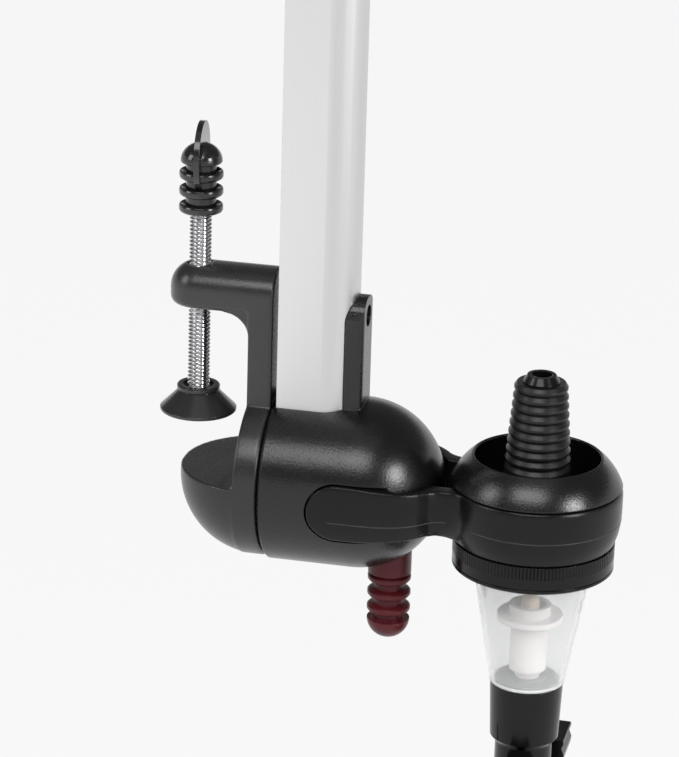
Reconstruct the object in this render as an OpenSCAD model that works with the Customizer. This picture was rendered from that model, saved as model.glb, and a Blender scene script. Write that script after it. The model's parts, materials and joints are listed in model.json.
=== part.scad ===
/* [Clamp] */
// Gap between the jaw and the foot pad
clamp_gap = 18; // [8:1:36]
// Distance from the screw's axis to the edge stop
throat = 20; // [17:0.5:30]
// Thickness of the disc and of the spine that stands on it
disc_t = 8.7; // [7.5:0.1:14]
// Diameter of the disc and of the lower jaw
disc_d = 58.8; // [54:0.2:60]
// Height of the jaw's flat face above the swivel axis
jaw_rise = 2.8; // [1:0.1:8]
// Height of the arm's underside above the jaw
arm_under = 57.7; // [52:0.1:80]
// Height of the arm's beam
arm_h = 15.2; // [12:0.2:20]
// Width of the arm and of the spine
arm_w = 20.4; // [16.4:0.2:24]
// Radius along the arm's upper edges
arm_round = 9; // [2:0.5:9]
// Radius of the fillet between arm and spine
arm_fillet = 9; // [4:0.5:12]

/* [Clamp screw] */
// Diameter of the screw
rod_d = 7.94; // [6:0.02:10]
// Pitch of the screw's thread
rod_pitch = 1.411; // [1:0.001:2]
// Diameter of the foot pad
pad_d = 27; // [22:0.5:34]
// Height of the foot pad
pad_h = 9.6; // [8:0.2:14]
// Diameter of the pad's collar
pad_collar_d = 15.2; // [13:0.2:18]
// Height of the thumb knob's underside above the pad's underside
knob_lift = 72.4; // [70:0.2:90]
// Diameter of the thumb knob's rings
knob_d = 15.4; // [14:0.2:20]
// Distance from one ring of the knob to the next
knob_pitch = 5.95; // [5:0.05:7]
// Height of one ring of the knob
knob_ring_h = 3; // [2:0.1:4]
// Height of the knob's dome
knob_dome_h = 7.6; // [6:0.2:12]
// Diameter of the knob's wing
wing_d = 24.4; // [20:0.2:30]
// Thickness of the knob's wing
wing_t = 2; // [1.5:0.1:4]
// Turn of the knob's wing away from the plane across the arm
wing_turn = 6; // [-90:1:90]
// Width of the captive nut across its flats
nut_af = 13; // [12:0.5:15]
// Height of the captive nut
nut_h = 6.5; // [5:0.5:8]

/* [Swivel head] */
// Diameter of the head
head_d = 60.5; // [57:0.5:64]
// Length of the head's straight part
head_straight = 30.2; // [28.5:0.1:36]
// Gap between the disc and the head
split_gap = 0.5; // [0.4:0.05:1]
// Diameter of the pivot spindle
spindle_d = 16; // [12:0.5:18]
// Diameter of the spindle's flange
spindle_flange_d = 30; // [28:0.5:34]
// Outer diameter of the bearing sleeve
sleeve_d = 26; // [22:0.5:28]
// Length of the bearing sleeve
sleeve_l = 32.8; // [28:0.1:33]
// Diameter of the bearing sleeve's flange
sleeve_flange_d = 48; // [46:0.5:50]
// Diameter of the brake drum
drum_d = 22; // [18:0.5:23]
// Depth of the drum's half turn groove
groove_depth = 2; // [1:0.1:3]

/* [Lock] */
// Distance of the lock's axis ahead of the head's straight part
lock_ahead = 11.6; // [11.4:0.1:14]
// Diameter of the lock knob
lock_d = 15.4; // [12:0.2:16]
// Pull of the lock knob
lock_travel = 4; // [3:0.1:4]
// Diameter of the lock pin
lock_pin_d = 5; // [4:0.1:6]
// Wire of the lock spring
lock_wire = 0.9; // [0.6:0.05:1]

/* [Post] */
// Depth of the post's section, from its flat back to its round front
post_depth = 26.4; // [24:0.2:30]
// Thickness of the post's section
post_t = 21.4; // [19:0.2:24]
// Wall of the post
post_wall = 1.8; // [1:0.1:3]
// Distance of the post behind the head's rear face
post_setback = 1.7; // [1.2:0.1:3]
// Height of the post's foot above the swivel axis
post_foot = 14.8; // [14.6:0.1:18]
// Height of the post's top above the jaw
post_top = 364; // [350:1:420]
// Wall of the ear that backs the post
ear_wall = 3.2; // [2.5:0.1:5]
// Width of the ear
ear_w = 16; // [13:0.5:18]
// Height of the ear's top above the jaw
ear_top = 65.9; // [56:0.1:80]

/* [Yoke] */
// Distance from the head's nose to the ring's axis
ring_reach = 32.3; // [32:0.1:40]
// Diameter of the yoke's ring
ring_d = 60.5; // [58:0.5:66]
// Height of the ring's band
band_h = 20.3; // [18:0.1:24]
// Depth of the ring's band below the jaw's face
band_drop = 16.5; // [15:0.1:18]
// Diameter of the arms' lobes
lobe_d = 20.6; // [18:0.2:23]
// Depth of the lobes' centre below the swivel axis
lobe_drop = 1.6; // [0:0.1:4]
// Thickness of the lobes
lobe_t = 5.7; // [4.5:0.1:7]
// Thickness of the arms beside the nose
arm_t = 4.4; // [3.5:0.1:7]
// Radius of the fillet between the arms and the ring
yoke_fillet = 9.5; // [6:0.5:11]

/* [Cup] */
// Diameter of the cup's opening
cup_d = 43.9; // [40:0.1:45]
// Wall of the cup's spigot
spigot_wall = 2.6; // [2:0.1:3.5]
// Height of the cup's dome above the ring
dome_h = 10.2; // [7:0.1:13]
// Depth of the cup's floor below its rim
cup_depth = 23; // [16:0.5:25]
// Thickness of the cup's floor
floor_t = 3; // [2:0.1:4]
// Diameter of the stopper at the cup's rim
stopper_d = 22.5; // [20:0.1:26]
// Height of the stopper above its base
stopper_h = 50; // [40:1:60]
// Number of ribs on the stopper
stopper_ribs = 14; // [8:1:18]
// Outer diameter of the inlet tube
inlet_d = 10; // [8:0.5:12]
// Bore of the inlet tube
inlet_bore = 7.2; // [5:0.2:8]

/* [Measure] */
// Diameter of the collar nut
collar_d = 56.7; // [55.5:0.1:60]
// Height of the collar nut
collar_h = 9.8; // [9:0.1:13]
// Number of ribs round the collar nut
collar_ribs = 140; // [80:4:160]
// Diameter of the measuring chamber at its top
chamber_top_d = 42; // [38:0.2:43]
// Diameter of the measuring chamber at its foot
chamber_foot_d = 26.8; // [26:0.1:30]
// Length of the measuring chamber below the collar nut
chamber_l = 44; // [40:0.5:60]
// Wall of the measuring chamber
chamber_wall = 1.8; // [1.2:0.1:2.2]
// Length of the nozzle's wide part
nozzle_l = 23.6; // [21:0.1:30]
// Diameter of the nozzle's narrow tube
tube_d = 20.4; // [19.4:0.1:21.4]
// Length of the nozzle's narrow tube
tube_l = 24; // [23:0.5:28]
// Upward travel of the valve
valve_travel = 9; // [6:0.5:9]
// Diameter of the valve's flange
flange_d = 23.2; // [20:0.2:25]
// Diameter of the valve's stem
stem_d = 13.2; // [10:0.2:15]
// Diameter of the valve's rod
rod_low_d = 8; // [6:0.2:9]
// Reach of the push bar to each side
bar_reach = 32; // [28:1:40]
// Width of the push bar's paddles
bar_w = 25.4; // [22:0.2:32]
// Wire of the return spring
return_wire = 1; // [0.8:0.05:1.1]

/* [Bottle rest] */
// Height of the rest pad's underside above the jaw
rest_height = 290; // [270:1:300]
// Upward travel of the rest
rest_travel = 30; // [20:1:32]
// Diameter of the rest pad
rest_d = 52; // [44:1:64]
// Thickness of the rest pad
rest_t = 10; // [8:0.5:14]
// Diameter of the rest's rod
rest_rod_d = 8; // [6:0.2:9]
// Length of the rest's spring
rest_spring_l = 46; // [44:1:50]
// Wire of the rest's spring
rest_wire = 1.5; // [1:0.05:1.6]
// Outer diameter of the bracket's barrel
barrel_d = 25; // [23:0.5:32]
// Height of the bracket's barrel
barrel_h = 28; // [24:1:36]
// Wall of the bracket's sleeve round the post
bracket_wall = 3; // [2.5:0.1:4]

/* [Clearances] */
// Radial clearance of a running fit
run_gap = 0.05; // [0.02:0.01:0.1]
// Radial clearance of a pressed or glued fit
press_gap = 0.02; // [0.01:0.005:0.03]
// Clearance round moulded parts that seat in each other
seat_gap = 0.15; // [0.1:0.01:0.25]
// Clearance between parts that move past each other
free_gap = 0.4; // [0.3:0.05:0.5]

/* [Hidden] */
$fn = 96;

black = "#1c1c1e";
steel = "#b9bcc0";
alloy = "#d4d5d6";
maroon = "#4a1d22";
white = "#e6e0dc";
over = 1;

// Clamp places
axis_z = -jaw_rise;
disc_x1 = throat + disc_t;
disc_r = disc_d / 2;
jaw_centre = throat + disc_t / 2;
arm_top = arm_under + arm_h;
rim_chamfer = 0.8;
pad_rim_h = 1.2;
pad_collar_h = 2;
pad_cone_top_r = pad_collar_d / 2 - 0.6;
rod_seat = clamp_gap + 3.4;
knob_z = clamp_gap + knob_lift;
knob_r = knob_d / 2;
knob_neck_r = knob_r - 2.4;
knob_rings = 3;
knob_dome_z = knob_rings * knob_pitch - 0.3;
wing_z = knob_z + knob_dome_z + 2.8;
rod_top = knob_z + knob_dome_z + 2;

// Head places
head_x0 = disc_x1 + split_gap;
head_r = head_d / 2;
nose_x = head_x0 + head_straight;
nose_tip = nose_x + head_r;
head_rim = 1;
spindle_flange_t = 4;
spindle_screw_ring = (spindle_d + spindle_flange_d) / 4;
spindle_screw_d = 4;
spindle_head_d = 7;
spindle_head_h = 2.2;
sleeve_x1 = head_x0 + sleeve_l;
sleeve_flange_t = 3.5;
sleeve_flange_top = post_foot - 1.4;
sleeve_screw_ring = (sleeve_d + sleeve_flange_d) / 4;
sleeve_screw_d = 3;
sleeve_head_d = 5.6;
sleeve_head_h = 1.6;
sleeve_screw_angles = [-150, -90, -30];
lock_x = nose_x + lock_ahead;
washer_x0 = sleeve_x1 + 0.2;
washer_t = 1.6;
washer_d = drum_d + 1;
drum_x0 = washer_x0 + washer_t;
drum_x1 = drum_x0 + 2 * (lock_x - drum_x0);
stub_d = spindle_d - 4;
stub_flat = stub_d / 2 - 1.5;
drum_screw_d = 5;
drum_head_d = 9;
drum_head_h = 3;
drum_screw_l = 11;
bay_r = washer_d / 2 + free_gap;
bay_x1 = drum_x1 + drum_head_h + 1;

// Lock places, as depths below the swivel axis
groove_r = drum_d / 2 - groove_depth;
shoe_tip_r = 4.5;
shoe_base_r = lock_pin_d / 2 + 3.5;
shoe_tip_depth = groove_r + 0.1;
shoe_base_depth = drum_d / 2 + 0.5;
shoe_base_t = 2;
spring_bay_r = shoe_base_r + 0.6;
lock_spring_depth = shoe_base_depth + shoe_base_t;
lock_spring_l = 7;
lock_guide_depth = lock_spring_depth + lock_spring_l;
lock_guide_t = 2.5;
lock_well_depth = lock_guide_depth + lock_guide_t;
lock_knob_depth = lock_well_depth + free_gap;
lock_pin_depth = lock_knob_depth + 6;
lock_r = lock_d / 2;
lock_neck_r = lock_r - 2.4;
lock_shank_l = 9.4;
lock_ring_h = 3;
lock_ring_pitch = 5.8;
lock_rings = 3;
lock_dome_h = 7.3;
lock_coil_r = lock_pin_d / 2 + 2;
lock_turns = 3;

// Post places
post_x0 = head_x0 + post_setback;
post_x1 = post_x0 + post_depth;
post_round_x = post_x1 - post_t / 2;
post_z0 = axis_z + post_foot;
ear_x1 = post_x1 + ear_wall;
ear_shoulder = ear_top - 8.6;
ear_ease = 0.05;
post_screw_z = ear_top - 7;
post_screw_d = 4;
post_screw_head_d = 7.4;
post_screw_head_h = 1.3;
post_screw_sink = 0.8;
ear_round = 2.2;

// Yoke places
ring_x = nose_tip + ring_reach;
ring_r = ring_d / 2;
band_z0 = -band_drop;
band_z1 = band_z0 + band_h;
lobe_r = lobe_d / 2;
lobe_x = head_x0 + 17.6 + lobe_r;
lobe_z = axis_z - lobe_drop;
lobe_out = head_r + 0.6;
lobe_in = lobe_out - lobe_t;
pocket_gap = 0.6;
pocket_in = lobe_in - seat_gap;
peg_r = 5;
peg_in = 17;
nose_gap = 0.75;
arm_out_r = head_r + nose_gap + arm_t;
arm_end_z0 = band_z0 + 4.2;
arm_end_z1 = band_z1 - 0.2;
arm_end_x = ring_x - ring_r + 6;
arm_flare = 3.4;
gap_half = 13;
band_belly = 3.4;
band_round = 4;
band_turn = 36;

// Cup places
cup_r = cup_d / 2;
spigot_r = cup_r + spigot_wall;
band_in = spigot_r + seat_gap;
seam_gap = 0.3;
dome_z0 = band_z1 + seam_gap;
rim_z = dome_z0 + dome_h;
dome_r = ring_r - 0.25;
dome_bow = 0.8;
floor_z1 = rim_z - cup_depth;
floor_z0 = floor_z1 - floor_t;
stopper_base_r = stopper_d / 2 + 2.8;
stopper_base_t = 4;
stopper_taper = 0.079;
stopper_z0 = floor_z1;
stopper_z1 = stopper_z0 + stopper_h;
rib_step = (stopper_h - stopper_base_t) / stopper_ribs;
rib_lip = 0.9;
tube_head_d = inlet_d + 3;
tube_head_h = 2.5;
tube_nut_h = 5;
tube_nut_af = inlet_d + 6;

// The fillet between arm and ring touches a circle about the nose and one about the ring's axis
fillet_span = ring_x - nose_x;
fillet_r1 = arm_out_r + yoke_fillet;
fillet_r2 = ring_r + yoke_fillet;
fillet_reach = (pow(fillet_span, 2) + pow(fillet_r1, 2) - pow(fillet_r2, 2)) / (2 * fillet_span);
fillet_rise = sqrt(pow(fillet_r1, 2) - pow(fillet_reach, 2));
fillet_in = atan2(fillet_rise, fillet_reach);
fillet_out = atan2(fillet_rise, fillet_reach - fillet_span);
fillet_short = 3;
touch_x = ring_x + ring_r * cos(fillet_out);
touch_y = ring_r * sin(fillet_out);
arm_stop_x = touch_x + 1.2;

// Outer line of an arm as [x, distance from the swivel axis], from the lobe to the ring
arm_line = concat([[lobe_x - lobe_r - over, lobe_out]],
    [for (i = [0:10]) let (t = i / 10, a = 90 + (fillet_in - 90) * t,
        r = lobe_out + (arm_out_r - lobe_out) * ease(t)) [nose_x + r * cos(a), r * sin(a)]],
    arc(nose_x + fillet_reach, fillet_rise, yoke_fillet, fillet_in - 180, fillet_out - 180 - fillet_short, 8),
    [[arm_stop_x, touch_y - 0.6]]);

// Measure places
collar_z1 = band_z0 - 0.2;
collar_z0 = collar_z1 - collar_h;
collar_r = collar_d / 2;
collar_lip = 2;
rib_r = 0.45;
rib_h = 4.4;
collar_line = 1.3;
chamber_flange_t = 2;
chamber_flange_r = spigot_r - 0.7;
chamber_flange_z0 = collar_z0 + collar_lip + 0.1;
chamber_flange_z1 = chamber_flange_z0 + chamber_flange_t;
seal_t = 1;
spigot_z0 = chamber_flange_z1 + seal_t;
chamber_top_r = chamber_top_d / 2;
chamber_foot_r = chamber_foot_d / 2;
chamber_z0 = collar_z0 - chamber_l;
socket_r = chamber_foot_r - 1.4;
socket_l = 6;
chamber_port_r = socket_r - 1.9;
inlet_z0 = collar_z0 - 7.7;
nozzle_top_r = chamber_foot_r - 0.4;
nozzle_foot_r = nozzle_top_r - 0.8;
nozzle_z1 = chamber_z0 - 0.1;
nozzle_z0 = nozzle_z1 - nozzle_l;
tube_z0 = nozzle_z0 - tube_l;
tube_r = tube_d / 2;
tube_bore_r = tube_r - 1.5;
step_h = 2.4;
guide_z1 = nozzle_z1 - socket_l - 0.4;
guide_t = 3;
guide_z0 = guide_z1 - guide_t;
guide_ports = 4;
guide_port_r = 1.6;
guide_port_ring = rod_low_d / 2 + 2.6;

// Valve places
seal_disc_r = chamber_foot_r - chamber_wall - 0.45;
outlet_seal_z0 = chamber_z0 + 0.3;
outlet_seal_t = 1.6;
stem_z0 = outlet_seal_z0 + outlet_seal_t;
flange_t = 2;
flange_z1 = inlet_z0 - valve_travel - 1.5;
flange_z0 = flange_z1 - flange_t;
tip_r = inlet_bore / 2 - free_gap;
tip_h = 7.5;
valve_cup_r = inlet_d / 2 + 0.7;
valve_cup_wall = 1.7;
valve_cup_h = 3.6;
stem_neck_r = rod_low_d / 2 + 0.4;
stem_neck_h = 3;
seal_hub_r = stem_neck_r + 2.4;
seal_step = 0.7;
return_spring_l = 28.6;
hub_z1 = guide_z0 - return_spring_l;
hub_h = 6;
hub_z0 = hub_z1 - hub_h;
hub_r = tube_bore_r - free_gap;
bar_arm_w = 7;
bar_inner = nozzle_top_r + 1.5;
bar_z1 = hub_z1 + 8.1;
bar_h = 15.5;
bar_z0 = bar_z1 - bar_h;
return_coil_r = rod_low_d / 2 + 2;
return_turns = 10;
bar_screw_d = 4;
bar_screw_head_d = 8;
bar_screw_head_h = 2.4;
bar_screw_l = 10;

// Bottle rest places
rest_z1 = rest_height + rest_t;
barrel_z0 = rest_z1 + rest_spring_l;
barrel_z1 = barrel_z0 + barrel_h;
bush_r = rest_rod_d / 2 + 3;
bush_lip_r = bush_r + 2.5;
bush_lip_t = 2;
rest_coil_r = rest_rod_d / 2 + 3.6;
rest_turns = 9;
rest_knob_r = 9;
rest_knob_h = 14;
rest_knob_z = barrel_z1 + bush_lip_t + 0.3;
rest_rod_z1 = rest_knob_z + rest_knob_h - 4;
rest_rod_z0 = rest_height + 3.5;
bracket_cap = 4;
bracket_sleeve_h = 34;
bracket_arm_w = 15;
bracket_arm_h = 16;
bracket_arm_z0 = (barrel_z0 + barrel_z1 - bracket_arm_h) / 2;
bracket_z1 = max(post_top + bracket_cap, bracket_arm_z0 + bracket_arm_h);
bracket_z0 = min(post_top - bracket_sleeve_h, bracket_arm_z0);
bracket_screw_d = 3.5;
bracket_head_d = 6.6;
bracket_head_h = 2.2;
bracket_screw_zs = [post_top - 8, post_top - 26];

// Points on an arc round [cx, cy] from angle a0 to a1
function arc(cx, cy, r, a0, a1, n) =
    [for (i = [0:n]) let (a = a0 + (a1 - a0) * i / n) [cx + r * cos(a), cy + r * sin(a)]];

// Points on a quarter of an ellipse from angle a0 to a1
function oval(cx, cy, rx, ry, a0, a1, n) =
    [for (i = [0:n]) let (a = a0 + (a1 - a0) * i / n) [cx + rx * cos(a), cy + ry * sin(a)]];

// Points from p to q on a line that bows out by b in the middle
function bowed(p, q, b, n) = let (d = (q - p) / norm(q - p))
    [for (i = [0:n]) let (t = i / n) p + (q - p) * t + [d[1], -d[0]] * (4 * b * t * (1 - t))];

// Smooth step from 0 to 1
function ease(t) = t * t * (3 - 2 * t);

// A solid cylinder along X from x0 to x1, centred on the swivel axis
module shaft(d, x0, x1) {
    translate([x0, 0, axis_z]) rotate([0, 90, 0]) cylinder(d = d, h = x1 - x0);
}

// A solid of revolution about the swivel axis, its profile drawn as [radius, x]
module turned() {
    translate([0, 0, axis_z]) rotate([0, 90, 0]) rotate_extrude() children();
}

// An outline drawn as [y, z] and pulled along X from x0 to x1
module pulled_x(x0, x1) {
    translate([x0, 0, 0]) rotate([90, 0, 90]) linear_extrude(x1 - x0) children();
}

// An outline drawn as [x, z] and pulled along Y from y0 to y1
module pulled_y(y0, y1) {
    translate([0, y1, 0]) rotate([90, 0, 0]) linear_extrude(y1 - y0) children();
}

// A hexagon by its width across flats
module hexagon(af) {
    circle(d = af / cos(30), $fn = 6);
}

// One unbroken coil of wire standing on z0 and ending at z1
module coil(r, wire, turns, z0, z1) {
    rings = turns * 8;
    sides = 6;
    lift = z1 - z0 - wire;
    mid = [for (i = [0:rings]) let (a = 360 * turns * i / rings)
        [r * cos(a), r * sin(a), z0 + wire / 2 + lift * i / rings]];
    skin = [for (i = [0:rings]) for (k = [0:sides - 1]) let (a = 360 * turns * i / rings, b = 360 * k / sides)
        [(r + wire / 2 * cos(b)) * cos(a), (r + wire / 2 * cos(b)) * sin(a), mid[i][2] + wire / 2 * sin(b)]];
    walls = [for (i = [0:rings - 1]) for (k = [0:sides - 1]) let (n = (k + 1) % sides, p = i * sides)
        each [[p + k, p + sides + k, p + n], [p + n, p + sides + k, p + sides + n]]];
    last = rings * sides;
    ends = [for (k = [1:sides - 2]) each [[0, k, k + 1], [last, last + k + 1, last + k]]];
    gaps = [for (i = [0:rings - 5]) for (j = [i + 5:rings]) norm(mid[i] - mid[j]) - wire];
    echo(least_gap = min(gaps));
    polyhedron(points = skin, faces = concat(walls, ends));
}

// Outline of the post, grown outward by grow
module post_outline(grow) {
    half = post_t / 2 + grow;
    translate([post_round_x, 0]) circle(r = half);
    translate([post_x0 - grow, -half]) square([post_round_x - post_x0 + grow, 2 * half]);
}

// Half of the arm's section as [half width, height], from the middle outward
module arm_section() {
    half = arm_w / 2;
    low = 3;
    polygon(concat([[0, arm_under]], arc(half - low, arm_under + low, low, -90, 0, 8),
        arc(half - arm_round, arm_top - arm_round, arm_round, 0, 90, 14), [[0, arm_top]]));
}

module clamp_beam() {
    rotate_extrude() arm_section();
    pulled_x(0, disc_x1) arm_section();
    mirror([0, 1, 0]) pulled_x(0, disc_x1) arm_section();
}

module clamp_spine() {
    translate([throat, -arm_w / 2, axis_z]) cube([disc_t, arm_w, arm_top - arm_round - axis_z]);
    pulled_y(-arm_w / 2 + 1, arm_w / 2 - 1) difference() {
        translate([throat - arm_fillet, arm_under - arm_fillet])
            square([arm_fillet + over, arm_fillet + over]);
        translate([throat - arm_fillet, arm_under - arm_fillet]) circle(r = arm_fillet);
    }
}

module clamp_disc() {
    turned() polygon([[0, throat], [disc_r, throat], [disc_r, disc_x1 - rim_chamfer],
        [disc_r - rim_chamfer, disc_x1], [0, disc_x1]]);
    intersection() {
        translate([jaw_centre, 0, axis_z]) sphere(r = disc_r);
        translate([jaw_centre - disc_d, -disc_d / 2, -disc_d])
            cube([disc_d - jaw_centre + throat + over, disc_d, disc_d]);
    }
}

module spindle_screw_places() {
    for (a = [90, 210, 330])
        translate([0, spindle_screw_ring * cos(a), axis_z + spindle_screw_ring * sin(a)]) children();
}

module clamp_frame() {
    color(black) difference() {
        union() {
            clamp_disc();
            clamp_spine();
            clamp_beam();
        }
        translate([0, 0, arm_under - over]) cylinder(d = rod_d + 2 * free_gap, h = arm_h + 2 * over);
        translate([0, 0, arm_under - over]) linear_extrude(nut_h + over) hexagon(nut_af + 2 * press_gap);
        shaft(spindle_flange_d + 2 * press_gap, disc_x1 - spindle_flange_t, disc_x1 + over);
        spindle_screw_places() rotate([0, 90, 0]) {
            cylinder(d = spindle_screw_d + 2 * press_gap, h = disc_x1);
            translate([0, 0, throat - over])
                cylinder(d = spindle_head_d + 2 * seat_gap, h = spindle_head_h + seat_gap + over);
        }
    }
}

module clamp_nut() {
    color(steel) translate([0, 0, arm_under]) linear_extrude(nut_h) difference() {
        hexagon(nut_af);
        circle(d = rod_d + 2 * run_gap);
    }
}

module pivot_spindle() {
    color(steel) difference() {
        union() {
            shaft(spindle_flange_d, disc_x1 - spindle_flange_t, disc_x1);
            shaft(spindle_d, disc_x1 - over, washer_x0);
            intersection() {
                shaft(stub_d, washer_x0 - over, drum_x1 - 0.3);
                translate([0, -stub_d, axis_z - stub_d]) cube([drum_x1, 2 * stub_d, stub_d + stub_flat]);
            }
        }
        shaft(drum_screw_d + 2 * press_gap, drum_x1 - drum_screw_l, drum_x1 + over);
        spindle_screw_places() rotate([0, 90, 0])
            cylinder(d = spindle_screw_d + 2 * press_gap, h = disc_x1 + over);
    }
}

module spindle_screws() {
    color(steel) spindle_screw_places() rotate([0, 90, 0]) difference() {
        union() {
            translate([0, 0, throat]) cylinder(d = spindle_head_d, h = spindle_head_h);
            translate([0, 0, throat]) cylinder(d = spindle_screw_d, h = disc_t);
        }
        translate([0, 0, throat - over]) cylinder(d = 3, h = over + 1.2, $fn = 6);
    }
}

module thrust_washer() {
    color(steel) difference() {
        shaft(washer_d, washer_x0, washer_x0 + washer_t);
        shaft(stub_d + 2 * press_gap, washer_x0 - over, washer_x0 + washer_t + over);
    }
}

module brake_drum() {
    color("#8d8f92") difference() {
        shaft(drum_d, drum_x0, drum_x1);
        intersection() {
            shaft(stub_d + 2 * press_gap, drum_x0 - over, drum_x1 + over);
            translate([0, -stub_d, axis_z - stub_d])
                cube([drum_x1 + over, 2 * stub_d, stub_d + stub_flat + press_gap]);
        }
        translate([lock_x, 0, axis_z]) {
            rotate([0, 90, 0]) rotate_extrude(angle = 180) translate([groove_r, -shoe_tip_r - free_gap])
                square([groove_depth + over, 2 * (shoe_tip_r + free_gap)]);
            for (side = [-1, 1]) rotate([90 - 90 * side, 0, 0]) translate([0, 0, groove_r])
                cylinder(r = shoe_tip_r + free_gap, h = groove_depth + over);
        }
    }
}

module drum_screw() {
    color(steel) difference() {
        union() {
            shaft(drum_head_d, drum_x1, drum_x1 + drum_head_h);
            shaft(drum_screw_d, drum_x1 - drum_screw_l + 0.5, drum_x1 + over);
        }
        translate([drum_x1 + drum_head_h - 1.6, 0, axis_z]) rotate([0, 90, 0])
            cylinder(d = 4, h = 3, $fn = 6);
    }
}

module foot_pad() {
    r = pad_d / 2;
    collar_z = pad_h - pad_collar_h;
    color(black) translate([0, 0, clamp_gap]) difference() {
        rotate_extrude() polygon([[0, 0], [r - 0.4, 0], [r, 0.4], [r, pad_rim_h], [pad_cone_top_r, collar_z],
            [pad_collar_d / 2, collar_z + 0.5], [pad_collar_d / 2, pad_h - 0.4],
            [pad_collar_d / 2 - 0.4, pad_h],
            [0, pad_h]]);
        translate([0, 0, rod_seat - clamp_gap - 0.1]) cylinder(d = rod_d + 2 * run_gap, h = pad_h);
        translate([0, 0, pad_h - 1.2]) cylinder(d = rod_d + 3, h = 1.2 + over);
    }
}

module clamp_rod() {
    color(steel) translate([0, 0, rod_seat]) cylinder(d = rod_d, h = rod_top - rod_seat);
}

// Profile of a ring with a sloping underside and a dished top, standing on z
function saucer(r, neck, z, h, pitch) = [[neck, z], [r - 0.9, z + 0.12 * h], [r - 0.25, z + 0.25 * h],
    [r, z + 0.42 * h], [r, z + 0.78 * h], [r - 0.25, z + 0.95 * h], [r - 0.7, z + h], [r - 1.2, z + 0.93 * h],
    [neck, z + 0.7 * h], [neck, z + pitch]];

module knob_profile() {
    rings = [for (i = [0:knob_rings - 1])
        each saucer(knob_r, knob_neck_r, i * knob_pitch, knob_ring_h + 0.4, knob_pitch)];
    polygon(concat([[0, 0]], rings, [[knob_r - 0.7, knob_dome_z + 0.6]],
        oval(0, knob_dome_z + 1, knob_r - 0.4, knob_dome_h - 1, 0, 90, 12)));
}

module thumb_knob() {
    color(black) difference() {
        union() {
            translate([0, 0, knob_z]) rotate_extrude() knob_profile();
            rotate([0, 0, wing_turn]) translate([-wing_t / 2, 0, wing_z]) rotate([0, 90, 0])
                cylinder(d = wing_d, h = wing_t);
        }
        translate([0, 0, knob_z - over]) cylinder(d = rod_d + 2 * press_gap, h = rod_top - knob_z + over);
    }
}

module bullet() {
    turned() translate([0, head_x0]) intersection() {
        union() {
            translate([0, head_rim]) square([head_r, head_straight - head_rim]);
            polygon([[0, 0], [head_r - head_rim, 0], [head_r, head_rim], [0, head_rim]]);
            translate([0, head_straight]) circle(r = head_r);
        }
        square([head_r, head_straight + head_r]);
    }
}

module ear() {
    half = ear_w / 2;
    rise = ear_top - ear_shoulder;
    plan = concat([[post_round_x, half], [post_round_x, -half]],
        arc(ear_x1 - ear_round, -half + ear_round, ear_round, -90, 0, 5),
        arc(ear_x1 - ear_round, half - ear_round, ear_round, 0, 90, 5));
    intersection() {
        translate([0, 0, axis_z]) linear_extrude(2 * ear_top) polygon(plan);
        pulled_x(0, 2 * ear_x1) polygon(concat([[-half - over, axis_z], [half + over, axis_z]],
            oval(half * 0.15, ear_shoulder, half * 0.85 + ear_ease, rise, 0, 90, 8),
            oval(-half * 0.15, ear_shoulder, half * 0.85 + ear_ease, rise, 90, 180, 8)));
    }
}

// Side view of a yoke arm as [x, z], grown outward by grow
module yoke_side(grow) {
    steps = 10;
    x1 = arm_end_x + grow;
    function at(i) = lobe_x + (x1 - lobe_x) * i / steps;
    far = arm_stop_x + grow + over;
    top = concat([for (i = [0:steps]) [at(i), lobe_z + lobe_r + grow
        + (arm_end_z1 - lobe_z - lobe_r) * ease(i / steps)]], [[far, arm_end_z1 + grow]]);
    low = concat([[far, arm_end_z0 - grow - arm_flare]], [for (i = [steps:-1:0]) [at(i),
        lobe_z - lobe_r - grow + (arm_end_z0 - lobe_z + lobe_r) * ease(i / steps)
        - arm_flare * pow(max(0, 2.5 * i / steps - 1.5), 2)]]);
    translate([lobe_x, lobe_z]) circle(r = lobe_r + grow);
    polygon(concat(top, low));
}

// Plan of the room for an arm on the side of positive y, between the head's flank and the ring
module yoke_plan() {
    inner_r = head_r + nose_gap;
    start = asin(lobe_in / inner_r);
    finish = asin(gap_half / inner_r);
    end_x = arm_stop_x + over;
    polygon(concat([[lobe_x - lobe_r - over, lobe_in], [lobe_x - lobe_r - over, 2 * head_r],
        [end_x, 2 * head_r], [end_x, gap_half]], arc(nose_x, 0, inner_r, finish, start, 8)));
}

module yoke_arm() {
    intersection() {
        translate([0, 0, -3 * lobe_r]) linear_extrude(6 * lobe_r) yoke_plan();
        pulled_y(0, 2 * head_r) yoke_side(0);
        turned() polygon(concat([[0, arm_line[0][0]]], [for (p = arm_line) [p[1], p[0]]],
            [[0, arm_stop_x]]));
    }
    translate([lobe_x, peg_in, lobe_z]) rotate([-90, 0, 0]) cylinder(r = peg_r, h = lobe_in - peg_in + over);
}

module yoke() {
    color(black) difference() {
        union() {
            translate([ring_x, 0, 0]) rotate_extrude() polygon(concat([[band_in, band_z0]],
                [[ring_r - 2.3, band_z0]], oval(ring_r - band_belly, band_z0 + 13, band_belly, 13, -60, 0, 9),
                arc(ring_r - band_round, band_z1 - band_round * sin(band_turn), band_round, 0, band_turn, 5),
                [[band_in, band_z1]]));
            yoke_arm();
            mirror([0, 1, 0]) yoke_arm();
        }
        translate([ring_x, 0, band_z0 - over]) cylinder(r = band_in, h = band_h + 2 * over);
        translate([ring_x, 0, band_z1]) cylinder(r = ring_r + over, h = 2 * lobe_r);
    }
}

module lock_hole(r, depth0, depth1) {
    translate([lock_x, 0, axis_z - depth1]) cylinder(r = r, h = depth1 - depth0);
}

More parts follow.
